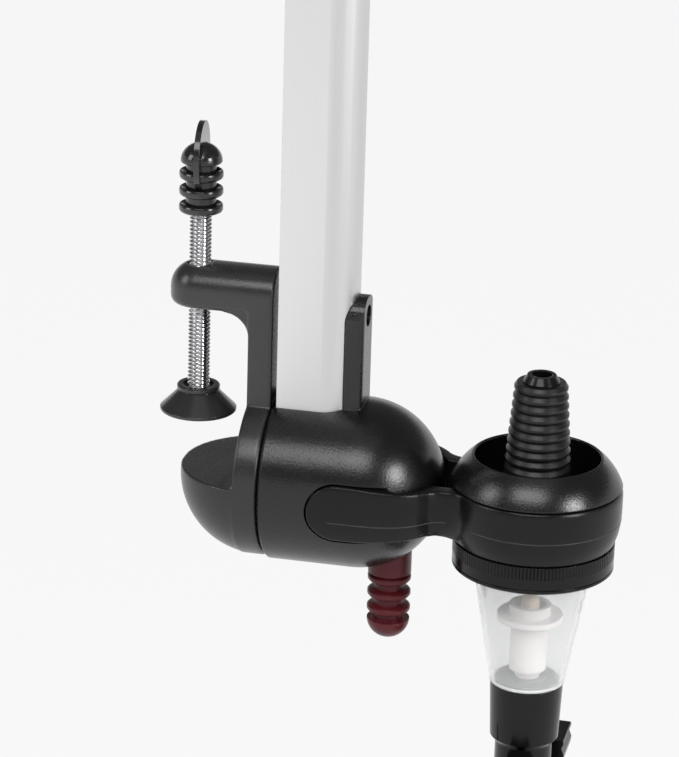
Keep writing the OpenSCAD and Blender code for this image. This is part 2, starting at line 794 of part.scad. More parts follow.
module sleeve_screw_places() {
    for (a = sleeve_screw_angles)
        translate([0, sleeve_screw_ring * cos(a), axis_z + sleeve_screw_ring * sin(a)]) rotate([0, 90, 0])
            children();
}

module sleeve_flange(grow) {
    intersection() {
        shaft(sleeve_flange_d + 2 * grow, head_x0, head_x0 + sleeve_flange_t + grow);
        translate([0, -head_r, axis_z - head_d])
            cube([2 * head_x0, head_d, head_d + sleeve_flange_top + grow]);
    }
}

module head_shell() {
    color(black) difference() {
        union() {
            bullet();
            ear();
        }
        translate([0, 0, post_z0]) linear_extrude(2 * ear_top) post_outline(seat_gap);
        shaft(sleeve_d + 2 * press_gap, head_x0 - over, sleeve_x1 + press_gap);
        shaft(2 * bay_r, sleeve_x1 - over, bay_x1);
        translate([-press_gap - over, 0, 0]) sleeve_flange(press_gap);
        sleeve_flange(press_gap);
        sleeve_screw_places() translate([0, 0, head_x0]) cylinder(d = sleeve_screw_d + 2 * press_gap, h = 12);
        lock_hole(spring_bay_r, 0, lock_guide_depth);
        lock_hole(lock_pin_d / 2 + run_gap, 0, head_r + over);
        lock_hole(lock_r + free_gap / 2, lock_well_depth, head_r + over);
        for (side = [0, 1]) mirror([0, side, 0]) {
            pulled_y(pocket_in, head_r + over) yoke_side(pocket_gap);
            translate([lobe_x, peg_in - 0.5, lobe_z]) rotate([-90, 0, 0])
                cylinder(r = peg_r + press_gap, h = head_r);
        }
        translate([post_x1 - post_wall - over, 0, post_screw_z]) rotate([0, 90, 0]) {
            cylinder(d = post_screw_d + 2 * press_gap, h = post_depth);
            translate([0, 0, post_wall + over + ear_wall - post_screw_sink - post_screw_head_h - seat_gap])
                cylinder(d = post_screw_head_d + 2 * seat_gap, h = ear_wall);
        }
    }
}

module bearing_sleeve() {
    color("#c9b27a") difference() {
        union() {
            shaft(sleeve_d, head_x0, sleeve_x1);
            sleeve_flange(0);
        }
        shaft(spindle_d + 2 * run_gap, head_x0 - over, sleeve_x1 + over);
        sleeve_screw_places() {
            translate([0, 0, head_x0 - over]) cylinder(d = sleeve_screw_d + 2 * press_gap, h = 12);
            translate([0, 0, head_x0 - over])
                cylinder(d = sleeve_head_d + 2 * seat_gap, h = sleeve_head_h + over);
        }
    }
}

module sleeve_screws() {
    color(steel) sleeve_screw_places() difference() {
        union() {
            translate([0, 0, head_x0 + 0.05]) cylinder(d = sleeve_head_d, h = sleeve_head_h - 0.05);
            translate([0, 0, head_x0 + 0.05]) cylinder(d = sleeve_screw_d, h = 11.5);
        }
        translate([0, 0, head_x0 - over]) cylinder(d = 2.4, h = over + 1, $fn = 6);
    }
}

module post() {
    color(alloy) difference() {
        translate([0, 0, post_z0 + 0.1]) linear_extrude(post_top - post_z0 - 0.1) difference() {
            post_outline(0);
            post_outline(-post_wall);
        }
        translate([post_x1 - 2 * post_wall, 0, post_screw_z]) rotate([0, 90, 0])
            cylinder(d = post_screw_d + 2 * press_gap, h = 3 * post_wall);
        for (z = bracket_screw_zs) translate([post_x0 - over, 0, z]) rotate([0, 90, 0])
            cylinder(d = bracket_screw_d + 2 * press_gap, h = post_wall + 2 * over);
    }
}

module post_screw() {
    head_x = ear_x1 - post_screw_sink - post_screw_head_h;
    color("#26262a") translate([0, 0, post_screw_z]) rotate([0, 90, 0]) difference() {
        union() {
            translate([0, 0, head_x]) cylinder(d = post_screw_head_d, h = post_screw_head_h - 0.2);
            translate([0, 0, post_x1 - post_wall - 2])
                cylinder(d = post_screw_d, h = ear_wall + post_wall);
        }
        for (a = [0, 90]) rotate([0, 0, a]) translate([-2.2, -0.5, head_x + 0.3]) cube([4.4, 1, 2]);
    }
}

module cup_cap() {
    color(black) translate([ring_x, 0, 0]) difference() {
        union() {
            rotate_extrude() polygon(concat([[cup_r, dome_z0]], [[dome_r - 0.4, dome_z0]],
                bowed([dome_r, dome_z0 + 0.4], [cup_r + 0.9, rim_z - 0.15], dome_bow, 10),
                [[cup_r + 0.4, rim_z], [cup_r, rim_z - 0.4]]));
            translate([0, 0, spigot_z0]) cylinder(r = spigot_r, h = dome_z0 - spigot_z0 + over);
        }
        translate([0, 0, floor_z1]) cylinder(r = cup_r, h = cup_depth + over);
        translate([0, 0, spigot_z0 - over]) cylinder(r = cup_r, h = floor_z0 - spigot_z0 + over);
        translate([0, 0, floor_z0 - over]) cylinder(d = inlet_d + 2 * press_gap, h = floor_t + 2 * over);
    }
}

function stopper_r(z) = stopper_d / 2 - stopper_taper * (z - rim_z);

module stopper() {
    ribs = [for (i = [0:stopper_ribs - 1])
        let (z = stopper_z0 + stopper_base_t + i * rib_step, r = stopper_r(z))
        each [[r - rib_lip, z], [r, z + rib_step * 0.3], [r, z + rib_step * 0.55],
            [r - rib_lip, z + rib_step * 0.95]]];
    color("#232325") translate([ring_x, 0, 0]) difference() {
        rotate_extrude() polygon(concat([[0, stopper_z0], [stopper_base_r, stopper_z0],
            [stopper_base_r, stopper_z0 + stopper_base_t - 1],
            [stopper_base_r - 1, stopper_z0 + stopper_base_t]],
            ribs, [[0, stopper_z1]]));
        translate([0, 0, stopper_z0 - over]) cylinder(d = inlet_d + 2 * press_gap, h = stopper_h + 2 * over);
    }
}

module inlet_tube() {
    color("#2a2a2c") translate([ring_x, 0, 0]) difference() {
        union() {
            translate([0, 0, inlet_z0]) cylinder(d = inlet_d, h = stopper_z1 - inlet_z0);
            translate([0, 0, stopper_z1 + 0.05]) cylinder(d1 = tube_head_d, d2 = inlet_d, h = tube_head_h);
            translate([0, 0, stopper_z1 - over]) cylinder(d = inlet_d, h = 2 * over);
        }
        translate([0, 0, inlet_z0 - over])
            cylinder(d = inlet_bore, h = stopper_z1 + tube_head_h - inlet_z0 + 2 * over);
    }
}

module tube_nut() {
    color("#2a2a2c") translate([ring_x, 0, floor_z0 - tube_nut_h]) linear_extrude(tube_nut_h) difference() {
        hexagon(tube_nut_af);
        circle(d = inlet_d + 2 * press_gap);
    }
}

module collar_nut() {
    color(black) translate([ring_x, 0, 0]) difference() {
        rotate_extrude() polygon([[0, collar_z0], [collar_r - 0.5, collar_z0], [collar_r, collar_z0 + 0.5],
            [collar_r, collar_z0 + collar_line], [collar_r - 0.35, collar_z0 + collar_line + 0.15],
            [collar_r, collar_z0 + collar_line + 0.5], [collar_r, collar_z1], [0, collar_z1]]);
        translate([0, 0, collar_z0 + collar_lip]) cylinder(r = spigot_r + press_gap, h = collar_h);
        translate([0, 0, collar_z0 - over]) cylinder(r = chamber_top_r + seat_gap, h = collar_h);
        for (i = [0:collar_ribs - 1]) rotate([0, 0, 360 * i / collar_ribs])
            translate([collar_r, 0, collar_z1 - rib_h]) rotate([0, 0, 45])
                translate([-rib_r / 2, -rib_r / 2, 0]) cube([rib_r, rib_r, collar_h]);
    }
}

module chamber_seal() {
    color("#3a3a3c") translate([ring_x, 0, chamber_flange_z1]) difference() {
        cylinder(r = chamber_flange_r, h = seal_t);
        translate([0, 0, -over]) cylinder(r = cup_r - 1, h = seal_t + 2 * over);
    }
}

module chamber() {
    top_in = chamber_top_r - chamber_wall;
    foot_in = chamber_foot_r - chamber_wall;
    foot_t = 1.2;
    color("#e8eef0") translate([ring_x, 0, 0]) rotate_extrude()
        polygon([[chamber_flange_r, chamber_flange_z0],
        [chamber_flange_r, chamber_flange_z1], [top_in, chamber_flange_z1], [top_in, collar_z0],
        [foot_in, chamber_z0], [chamber_port_r, chamber_z0], [chamber_port_r, chamber_z0 - socket_l],
        [socket_r, chamber_z0 - socket_l], [socket_r, chamber_z0], [chamber_foot_r, chamber_z0],
        [chamber_foot_r, chamber_z0 + foot_t], [chamber_top_r, collar_z0],
        [chamber_top_r, chamber_flange_z0]]);
}

module nozzle() {
    bore = socket_r + press_gap;
    color("#161617") translate([ring_x, 0, 0]) difference() {
        union() {
            rotate_extrude() polygon([[0, tube_z0], [tube_r - 0.5, tube_z0], [tube_r, tube_z0 + 0.5],
                [tube_r, nozzle_z0], [nozzle_foot_r, nozzle_z0 + step_h], [nozzle_top_r, nozzle_z1 - 0.5],
                [nozzle_top_r - 0.4, nozzle_z1], [0, nozzle_z1]]);
        }
        translate([0, 0, guide_z1]) cylinder(r = bore, h = nozzle_z1 - guide_z1 + over);
        translate([0, 0, tube_z0 - over]) cylinder(r = tube_bore_r, h = guide_z0 - tube_z0 + over);
        translate([0, 0, guide_z0 - over]) cylinder(d = rod_low_d + 2 * run_gap, h = guide_t + 2 * over);
        for (i = [0:guide_ports - 1]) rotate([0, 0, 45 + 360 * i / guide_ports])
            translate([guide_port_ring, 0, guide_z0 - over])
                cylinder(r = guide_port_r, h = guide_t + 2 * over);
        translate([-bar_arm_w / 2 - free_gap, -tube_d, tube_z0 - over])
            cube([bar_arm_w + 2 * free_gap, 2 * tube_d, hub_z1 + valve_travel + free_gap - tube_z0 + over]);
        for (a = [50, 230]) rotate([0, 0, a]) translate([nozzle_top_r, 0, nozzle_z0 - over])
            rotate([0, 0, 45]) translate([-0.8, -0.8, 0]) cube([1.6, 1.6, 10]);
    }
}

module lock_knob_profile() {
    shank = lock_knob_depth + lock_shank_l;
    ring = [for (i = [0:lock_rings - 1]) let (z = -shank - i * lock_ring_pitch)
        each [[lock_r - 0.5, z - 0.5], [lock_r, z - 1], [lock_r, z - lock_ring_h + 0.8],
            [lock_r - 0.6, z - lock_ring_h], [lock_neck_r, z - lock_ring_h],
            [lock_neck_r, z - lock_ring_pitch]]];
    dome = -shank - lock_rings * lock_ring_pitch;
    polygon(concat([[0, -lock_knob_depth], [lock_r - 0.5, -lock_knob_depth], [lock_r, -lock_knob_depth - 0.5],
        [lock_r, -shank + 0.4], [lock_r - 0.5, -shank], [lock_r - 1.2, -shank - 0.25]], ring,
        oval(0, dome, lock_r - 0.1, lock_dome_h, 0, -90, 12)));
}

module lock_knob() {
    color(maroon) translate([lock_x, 0, axis_z]) difference() {
        rotate_extrude() lock_knob_profile();
        translate([0, 0, -lock_pin_depth]) cylinder(d = lock_pin_d + 2 * press_gap, h = lock_pin_depth);
    }
}

module lock_pin() {
    color(steel) translate([lock_x, 0, axis_z - lock_pin_depth + 0.1])
        cylinder(d = lock_pin_d, h = lock_pin_depth - shoe_base_depth - 0.1);
}

module lock_shoe() {
    color(white) translate([lock_x, 0, axis_z]) difference() {
        union() {
            translate([0, 0, -shoe_base_depth - shoe_base_t]) cylinder(r = shoe_base_r, h = shoe_base_t);
            translate([0, 0, -shoe_base_depth])
                cylinder(r = shoe_tip_r, h = shoe_base_depth - shoe_tip_depth);
        }
        translate([0, 0, -shoe_base_depth - shoe_base_t - over])
            cylinder(d = lock_pin_d + 2 * press_gap, h = shoe_base_t + over);
    }
}

module lock_spring() {
    color(steel) translate([lock_x, 0, axis_z])
        coil(lock_coil_r, lock_wire, lock_turns, -lock_guide_depth + 0.05, -lock_spring_depth - 0.05);
}

module valve_stem() {
    color(white) translate([ring_x, 0, 0]) difference() {
        union() {
            translate([0, 0, flange_z0]) cylinder(d = flange_d, h = flange_t);
            translate([0, 0, flange_z1 - over])
                cylinder(r = valve_cup_r + valve_cup_wall, h = valve_cup_h + over);
            translate([0, 0, stem_z0 + stem_neck_h])
                cylinder(d = stem_d, h = flange_z0 - stem_z0 - stem_neck_h + over / 2);
            translate([0, 0, stem_z0]) cylinder(r = stem_neck_r, h = stem_neck_h + over);
            translate([0, 0, hub_z1]) cylinder(d = rod_low_d, h = stem_z0 - hub_z1 + over);
        }
        translate([0, 0, flange_z1]) cylinder(r = valve_cup_r, h = valve_cup_h + over);
        translate([0, 0, hub_z1 - over]) cylinder(d = bar_screw_d + 2 * press_gap, h = bar_screw_l);
    }
}

module inlet_seal() {
    color("#cdb592") translate([ring_x, 0, flange_z1]) {
        cylinder(r = valve_cup_r - 0.2, h = 0.8);
        cylinder(r = tip_r, h = tip_h - tip_r);
        translate([0, 0, tip_h - tip_r]) intersection() {
            sphere(r = tip_r);
            cylinder(r = tip_r, h = tip_r);
        }
    }
}

module outlet_seal() {
    color("#8f9496") translate([ring_x, 0, outlet_seal_z0]) difference() {
        union() {
            cylinder(r = seal_disc_r, h = outlet_seal_t - seal_step);
            cylinder(r = seal_hub_r, h = outlet_seal_t);
        }
        translate([0, 0, -over]) cylinder(d = rod_low_d + 2 * press_gap, h = outlet_seal_t + 2 * over);
    }
}

module paddle_profile() {
    half = bar_w / 2;
    polygon([[-half + 0.5, bar_z1], [half - 0.5, bar_z1], [half - 0.2, bar_z1 - 1], [half - 1, bar_z1 - 3],
        [half, bar_z1 - 5.6], [half - 0.1, bar_z1 - 7.4], [half - 2.6, bar_z1 - 12], [half - 6, bar_z0],
        [-half + 6, bar_z0], [-half + 2.6, bar_z1 - 12], [-half + 0.1, bar_z1 - 7.4], [-half, bar_z1 - 5.6],
        [-half + 1, bar_z1 - 3], [-half + 0.2, bar_z1 - 1]]);
}

module push_bar() {
    color("#1a1a1b") translate([ring_x, 0, 0]) difference() {
        union() {
            translate([0, 0, hub_z0]) cylinder(r = hub_r, h = hub_h);
            translate([-bar_arm_w / 2, -bar_inner - over, hub_z0])
                cube([bar_arm_w, 2 * (bar_inner + over), hub_h]);
            difference() {
                pulled_y(-bar_reach, bar_reach) paddle_profile();
                translate([-bar_w, -bar_inner, bar_z0 - over])
                    cube([2 * bar_w, 2 * bar_inner, bar_h + 2 * over]);
                for (side = [0, 1]) mirror([0, side, 0])
                    translate([-bar_w / 2 + 5, bar_inner + 2.4, bar_z0 - over])
                        cube([bar_w - 10, bar_reach - bar_inner - 4.8, bar_h - 2.4]);
            }
        }
        translate([0, 0, hub_z0 - over]) cylinder(d = bar_screw_d + 2 * press_gap, h = hub_h + 2 * over);
    }
}

module push_bar_screw() {
    color(steel) translate([ring_x, 0, 0]) difference() {
        union() {
            translate([0, 0, hub_z0 - bar_screw_head_h]) cylinder(d = bar_screw_head_d, h = bar_screw_head_h);
            translate([0, 0, hub_z0 - over]) cylinder(d = bar_screw_d, h = hub_h + bar_screw_l - over);
        }
        for (a = [0, 90]) rotate([0, 0, a]) translate([-2.4, -0.5, hub_z0 - bar_screw_head_h - over])
            cube([4.8, 1, over + 1.2]);
    }
}

module return_spring() {
    color(steel) translate([ring_x, 0, 0])
        coil(return_coil_r, return_wire, return_turns, hub_z1 + 0.05, guide_z0 - 0.05);
}

// A rectangle centred on the origin with rounded corners
module soft_square(w, h, r) {
    square([w - 2 * r, h], center = true);
    square([w, h - 2 * r], center = true);
    for (x = [-1, 1]) for (y = [-1, 1]) translate([x * (w / 2 - r), y * (h / 2 - r)]) circle(r = r);
}

module barrel() {
    r = barrel_d / 2;
    soft = 2;
    rotate_extrude() polygon(concat([[0, barrel_z0]], arc(r - soft, barrel_z0 + soft, soft, -90, 0, 5),
        arc(r - soft, barrel_z1 - soft, soft, 0, 90, 5), [[0, barrel_z1]]));
}

module top_bracket() {
    color(black) difference() {
        union() {
            translate([0, 0, bracket_z0]) linear_extrude(bracket_z1 - bracket_z0 - 1.2)
                post_outline(bracket_wall);
            translate([0, 0, bracket_z1 - 2]) linear_extrude(2) post_outline(bracket_wall - 1.2);
            pulled_x(post_round_x, ring_x) translate([0, bracket_arm_z0 + bracket_arm_h / 2])
                soft_square(bracket_arm_w, bracket_arm_h, 5);
            translate([ring_x, 0, 0]) barrel();
        }
        translate([0, 0, bracket_z0 - over]) linear_extrude(post_top - bracket_z0 + over)
            post_outline(seat_gap);
        translate([ring_x, 0, barrel_z0 - over]) cylinder(r = bush_r + press_gap, h = barrel_h + 2 * over);
        for (z = bracket_screw_zs) translate([post_x0 - bracket_wall - over, 0, z]) rotate([0, 90, 0])
            cylinder(d = bracket_screw_d + 2 * press_gap, h = 2 * bracket_wall);
    }
}

module bracket_screws() {
    head_x = post_x0 - bracket_wall - bracket_head_h;
    color(steel) for (z = bracket_screw_zs) translate([head_x, 0, z]) rotate([0, 90, 0]) difference() {
        union() {
            cylinder(d = bracket_head_d, h = bracket_head_h);
            cylinder(d = bracket_screw_d, h = bracket_head_h + bracket_wall + post_wall + 2);
        }
        for (a = [0, 90]) rotate([0, 0, a]) translate([-2, -0.45, -over]) cube([4, 0.9, over + 1.1]);
    }
}

module guide_bush() {
    color(white) translate([ring_x, 0, 0]) difference() {
        union() {
            translate([0, 0, barrel_z0]) cylinder(r = bush_r, h = barrel_h);
            translate([0, 0, barrel_z1]) cylinder(r = bush_lip_r, h = bush_lip_t);
        }
        translate([0, 0, barrel_z0 - over])
            cylinder(d = rest_rod_d + 2 * run_gap, h = barrel_h + bush_lip_t + 2 * over);
    }
}

module rest_rod() {
    color(steel) translate([ring_x, 0, rest_rod_z0]) cylinder(d = rest_rod_d, h = rest_rod_z1 - rest_rod_z0);
}

module rest_pad() {
    r = rest_d / 2;
    color("#232325") translate([ring_x, 0, rest_height]) difference() {
        rotate_extrude() polygon(concat([[0, 1.5], [r * 0.6, 1.2], [r - 3, 0], [r - 1, 0]],
            arc(r - 2, 3, 2, -30, 60, 5), [[r - 6, rest_t - 2], [rest_coil_r + 4, rest_t], [0, rest_t]]));
        translate([0, 0, rest_rod_z0 - rest_height - 0.1])
            cylinder(d = rest_rod_d + 2 * press_gap, h = rest_t);
    }
}

module rest_knob() {
    color(maroon) translate([ring_x, 0, rest_knob_z]) difference() {
        rotate_extrude() polygon(concat([[0, 0], [rest_knob_r - 2.5, 0], [rest_knob_r - 2.5, 4]],
            arc(rest_knob_r - 2, 7, 2, -60, 60, 6), oval(0, rest_knob_h - 5, rest_knob_r - 1, 5, 0, 90, 8)));
        translate([0, 0, -over])
            cylinder(d = rest_rod_d + 2 * press_gap, h = rest_rod_z1 - rest_knob_z + over);
    }
}

module rest_spring() {
    color(steel) translate([ring_x, 0, 0])
        coil(rest_coil_r, rest_wire, rest_turns, rest_z1 + 0.05, barrel_z0 - 0.05);
}

clamp_frame();
clamp_nut();
pivot_spindle();
spindle_screws();
thrust_washer();
brake_drum();
drum_screw();
foot_pad();
clamp_rod();
thumb_knob();
head_shell();
bearing_sleeve();
sleeve_screws();
post();
post_screw();
yoke();
cup_cap();
stopper();
inlet_tube();
tube_nut();
collar_nut();
chamber_seal();
chamber();
nozzle();
top_bracket();
bracket_screws();
guide_bush();
lock_knob();
lock_pin();
lock_shoe();
lock_spring();
valve_stem();
inlet_seal();
outlet_seal();
push_bar();
push_bar_screw();
return_spring();
rest_rod();
rest_pad();
rest_knob();
rest_spring();
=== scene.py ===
import json
import math

import bpy
import bmesh
from mathutils import Matrix, Vector
from mathutils.bvhtree import BVHTree


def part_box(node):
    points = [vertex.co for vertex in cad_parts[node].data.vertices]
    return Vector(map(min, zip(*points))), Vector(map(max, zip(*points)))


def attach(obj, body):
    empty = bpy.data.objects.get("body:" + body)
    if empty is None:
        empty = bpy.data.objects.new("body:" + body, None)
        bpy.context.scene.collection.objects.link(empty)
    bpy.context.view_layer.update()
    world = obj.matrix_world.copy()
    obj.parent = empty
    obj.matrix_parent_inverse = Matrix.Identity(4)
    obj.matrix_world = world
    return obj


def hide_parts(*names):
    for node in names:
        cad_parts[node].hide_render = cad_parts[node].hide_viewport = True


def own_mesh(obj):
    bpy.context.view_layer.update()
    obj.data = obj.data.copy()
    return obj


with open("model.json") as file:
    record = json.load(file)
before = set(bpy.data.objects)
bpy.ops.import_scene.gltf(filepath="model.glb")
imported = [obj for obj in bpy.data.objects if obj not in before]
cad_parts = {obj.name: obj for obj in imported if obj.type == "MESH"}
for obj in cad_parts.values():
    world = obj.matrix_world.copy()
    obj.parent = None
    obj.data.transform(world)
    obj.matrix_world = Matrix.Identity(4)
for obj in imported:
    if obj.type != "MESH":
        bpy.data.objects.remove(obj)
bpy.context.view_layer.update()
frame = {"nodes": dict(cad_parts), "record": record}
nodes = frame["nodes"]
MM = 0.001

# Camera, fitted to the photo's round parts
AZIMUTH, ELEVATION, ROLL = math.radians(12.489), math.radians(19.513), math.radians(1.664)
TARGET = Vector((50.8, 0.0, 34.7)) * MM
DISTANCE = 1150 * MM
FOCAL_PX, FRAME_PX = 3298.6, 757.0
SENSOR = 36.0


def direction(azimuth, elevation):
    """Unit vector from the object towards a viewer; azimuth runs from the front towards +X."""
    return Vector((math.sin(azimuth) * math.cos(elevation), -math.cos(azimuth) * math.cos(elevation),
                   math.sin(elevation)))


def make_camera():
    back = direction(AZIMUTH, ELEVATION)
    right = Vector((math.cos(AZIMUTH), math.sin(AZIMUTH), 0))
    up = back.cross(right)
    x = right * math.cos(ROLL) + up * math.sin(ROLL)
    y = up * math.cos(ROLL) - right * math.sin(ROLL)
    data = bpy.data.cameras.new("camera")
    data.sensor_width = SENSOR
    data.lens = FOCAL_PX * SENSOR / FRAME_PX
    data.clip_start, data.clip_end = 0.01, 50.0
    cam = bpy.data.objects.new("camera", data)
    bpy.context.scene.collection.objects.link(cam)
    place = TARGET + back * DISTANCE
    cam.matrix_world = Matrix(((x.x, y.x, back.x, place.x), (x.y, y.y, back.y, place.y),
                               (x.z, y.z, back.z, place.z), (0, 0, 0, 1)))
    bpy.context.scene.camera = cam


# Materials
class Nodes:
    """A material's node tree with short calls to add and join nodes."""

    def __init__(self, name):
        self.mat = bpy.data.materials.new(name)
        self.mat.use_nodes = True
        self.tree = self.mat.node_tree
        self.shader = self.tree.nodes["Principled BSDF"]
        self.coords = self.tree.nodes.new("ShaderNodeTexCoord").outputs["Object"]

    def add(self, kind, **inputs):
        node = self.tree.nodes.new(kind)
        for key, value in inputs.items():
            node.inputs[key.replace("_", " ")].default_value = value
        return node

    def link(self, a, b):
        self.tree.links.new(a, b)

    def stretched(self, scale):
        m = self.add("ShaderNodeMapping", Scale=scale)
        self.link(self.coords, m.inputs["Vector"])
        return m.outputs["Vector"]

    def noise(self, scale, detail=3.0, rough=0.5, vector=None):
        n = self.add("ShaderNodeTexNoise", Scale=scale, Detail=detail, Roughness=rough)
        self.link(vector or self.coords, n.inputs["Vector"])
        return n.outputs["Fac"]

    def span(self, value, low, high, from_low=0.3, from_high=0.7):
        n = self.add("ShaderNodeMapRange", From_Min=from_low, From_Max=from_high, To_Min=low, To_Max=high)
        self.link(value, n.inputs["Value"])
        return n.outputs["Result"]

    def colour(self, value, dark, light):
        """Base colour from dark to light, by a noise value."""
        n = self.tree.nodes.new("ShaderNodeValToRGB")
        for element, place, rgb in zip(n.color_ramp.elements, (0.3, 0.7), (dark, light)):
            element.position = place
            element.color = (*rgb, 1.0)
        self.link(value, n.inputs["Fac"])
        self.link(n.outputs["Color"], self.shader.inputs["Base Color"])

    def roughness(self, value, rough, *source):
        self.link(self.span(value, *rough, *source), self.shader.inputs["Roughness"])

    def bump(self, height, strength, distance, soft_edge=0.0):
        n = self.add("ShaderNodeBump", Strength=strength, Distance=distance)
        self.link(height, n.inputs["Height"])
        if soft_edge:
            b = self.add("ShaderNodeBevel", Radius=soft_edge)
            b.samples = 6
            self.link(b.outputs["Normal"], n.inputs["Normal"])
        self.link(n.outputs["Normal"], self.shader.inputs["Normal"])

    def set(self, **values):
        for key, value in values.items():
            self.shader.inputs[key.replace("_", " ")].default_value = value


PATCH_SCALE, SMEAR_SCALE, SMEAR_SHARE = 55.0, 140.0, 0.35
STREAK_BUMP = 0.25
FAINT_SCALE, ACRYLIC_IOR = 90.0, 1.49


def plastic(name, dark, light, rough, grain, depth, soft_edge, scale=2600.0, **more):
    """Moulded plastic or rubber: fine grain, uneven gloss and faint patches of colour."""
    n = Nodes(name)
    n.colour(n.noise(PATCH_SCALE, 4.0), dark, light)
    fine = n.noise(scale, 2.0, 0.6)
    smear = n.noise(SMEAR_SCALE)
    mixed = n.tree.nodes.new("ShaderNodeMath")
    mixed.operation = "MULTIPLY_ADD"
    mixed.inputs[1].default_value = SMEAR_SHARE
    n.link(smear, mixed.inputs[0])
    n.link(fine, mixed.inputs[2])
    n.roughness(mixed.outputs[0], rough, 0.4, 0.95)
    n.bump(fine, grain, depth, soft_edge)
    n.set(**more)
    return n.mat


def metal(name, dark, light, rough, depth, soft_edge=0.0, scale=900.0, stretch=(1, 1, 1)):
    """Bare metal: streaks in colour, gloss and height."""
    n = Nodes(name)
    streak = n.noise(scale, 3.0, 0.6, n.stretched(stretch))
    n.colour(streak, dark, light)
    n.roughness(streak, rough)
    n.bump(streak, STREAK_BUMP, depth, soft_edge)
    n.set(Metallic=1.0)
    return n.mat


def clear(name, dark, light, rough, through):
    """Clear plastic; through is the share of light that passes."""
    n = Nodes(name)
    faint = n.noise(FAINT_SCALE, 2.0)
    n.colour(faint, dark, light)
    n.roughness(faint, rough)
    n.set(Transmission_Weight=through, IOR=ACRYLIC_IOR)
    return n.mat


def greys(dark, light, blue=0.0002):
    """A dark and a light grey, a little towards blue."""
    return {"dark": (dark, dark, dark + blue), "light": (light, light, light + blue)}


BLACK = greys(0.004, 0.006)
PLASTICS = {
    "satin_black": dict(BLACK, rough=(0.22, 0.34), grain=0.06, depth=0.0001, soft_edge=0.0006,
                        Specular_IOR_Level=0.27),
    "grain_black": dict(BLACK, rough=(0.2, 0.3), grain=0.5, depth=0.00012, soft_edge=0.0006, scale=1500.0,
                        Specular_IOR_Level=0.55),
    # Lighter than the satin black of the same slot: painted light, for the sheen the clamp frame catches
    "clamp_black_painted_light": dict(greys(0.018, 0.024), rough=(0.22, 0.34), grain=0.3, depth=0.0001, soft_edge=0.0006,
                        scale=1500.0, Specular_IOR_Level=0.55),
    "knob_black": dict(greys(0.009, 0.013), rough=(0.13, 0.2), grain=0.05, depth=0.00008, soft_edge=0.0003,
                       Specular_IOR_Level=0.62),
    # Lighter than the gloss black of the same slot: painted light on the foot pad
    "pad_black_painted_light": dict(greys(0.022, 0.03), rough=(0.15, 0.24), grain=0.05, depth=0.00008, soft_edge=0.0003,
                      Specular_IOR_Level=0.5),
    "gloss_black": dict(BLACK, rough=(0.15, 0.24), grain=0.05, depth=0.00008, soft_edge=0.0003,
                        Specular_IOR_Level=0.27),
    "maroon": dict(dark=(0.1, 0.011, 0.016), light=(0.13, 0.015, 0.021), rough=(0.26, 0.38), grain=0.08,
                   depth=0.00008, soft_edge=0.0003, Specular_IOR_Level=0.3),
    # Lighter than the yoke's black: a painted highlight for the mould line's ridge
    "painted_highlight_black": dict(greys(0.012, 0.035), rough=(0.4, 0.5), grain=0.1, depth=0.0001, soft_edge=0.0),
    "rubber": dict(greys(0.006, 0.01), rough=(0.3, 0.44), grain=0.15, depth=0.0001, soft_edge=0.0003,
                   Specular_IOR_Level=0.36),
    "acetal": dict(dark=(0.65, 0.622, 0.617), light=(0.71, 0.682, 0.677), rough=(0.34, 0.45), grain=0.04,
                   depth=0.00006, soft_edge=0.0003, Subsurface_Weight=0.3,
                   Subsurface_Radius=(0.004, 0.0036, 0.0034)),
    "silicone": dict(dark=(0.6, 0.5, 0.38), light=(0.68, 0.57, 0.44), rough=(0.36, 0.48), grain=0.05,
                     depth=0.00008, soft_edge=0.0003),
    "silicone_grey": dict(dark=(0.19, 0.2, 0.2), light=(0.25, 0.26, 0.26), rough=(0.24, 0.36), grain=0.05,
                          depth=0.00008, soft_edge=0.0003, Transmission_Weight=0.25),
}
METALS = {
    "zinc": dict(greys(0.56, 0.72, 0.01), rough=(0.14, 0.26), depth=0.00003, soft_edge=0.0002, scale=1800.0,
                 stretch=(1, 1, 0.25)),
    "thread_zinc": dict(greys(0.54, 0.7, 0.01), rough=(0.12, 0.2), depth=0.00002, scale=1800.0,
                        stretch=(1, 1, 0.25)),
    "black_steel": dict(greys(0.02, 0.04, 0.001), rough=(0.3, 0.42), depth=0.00003, soft_edge=0.0002),
    "spring_steel": dict(greys(0.45, 0.6, 0.01), rough=(0.22, 0.34), depth=0.00003),
    "drum_metal": dict(greys(0.42, 0.56, 0.01), rough=(0.3, 0.42), depth=0.00003),
    "alloy": dict(greys(0.66, 0.68, 0.003), rough=(0.33, 0.37), depth=0.000006, soft_edge=0.0003,
                  stretch=(1, 1, 0.02)),
}
CLEARS = {
    "clear": dict(dark=(0.945, 0.95, 0.95), light=(0.97, 0.975, 0.975), rough=(0.03, 0.06), through=0.82),
    # Pale and only half clear: a painted highlight for the chamber's foot rim
    "clear_painted_glint": dict(dark=(0.93, 0.94, 0.94), light=(0.97, 0.97, 0.97), rough=(0.2, 0.3), through=0.45),
}
mats = {name: make(name, **values) for make, table in ((plastic, PLASTICS), (metal, METALS), (clear, CLEARS))
        for name, values in table.items()}

# Nodes whose surface differs from that of their slot; the lighter blacks of the clamp frame and the foot pad
# are painted light
SPECIAL = {"head_shell": "grain_black", "cup_cap": "grain_black", "clamp_frame": "clamp_black_painted_light",
           "thumb_knob": "knob_black", "foot_pad": "pad_black_painted_light"}
slot_of = {row["node"]: row["material_slot"] for row in frame["record"]["subparts"]}
for name, obj in nodes.items():
    obj.data.materials.clear()
    obj.data.materials.append(mats[SPECIAL.get(name, slot_of[name])])

# Light reaches the valve through the clear wall
nodes["chamber"].visible_shadow = False


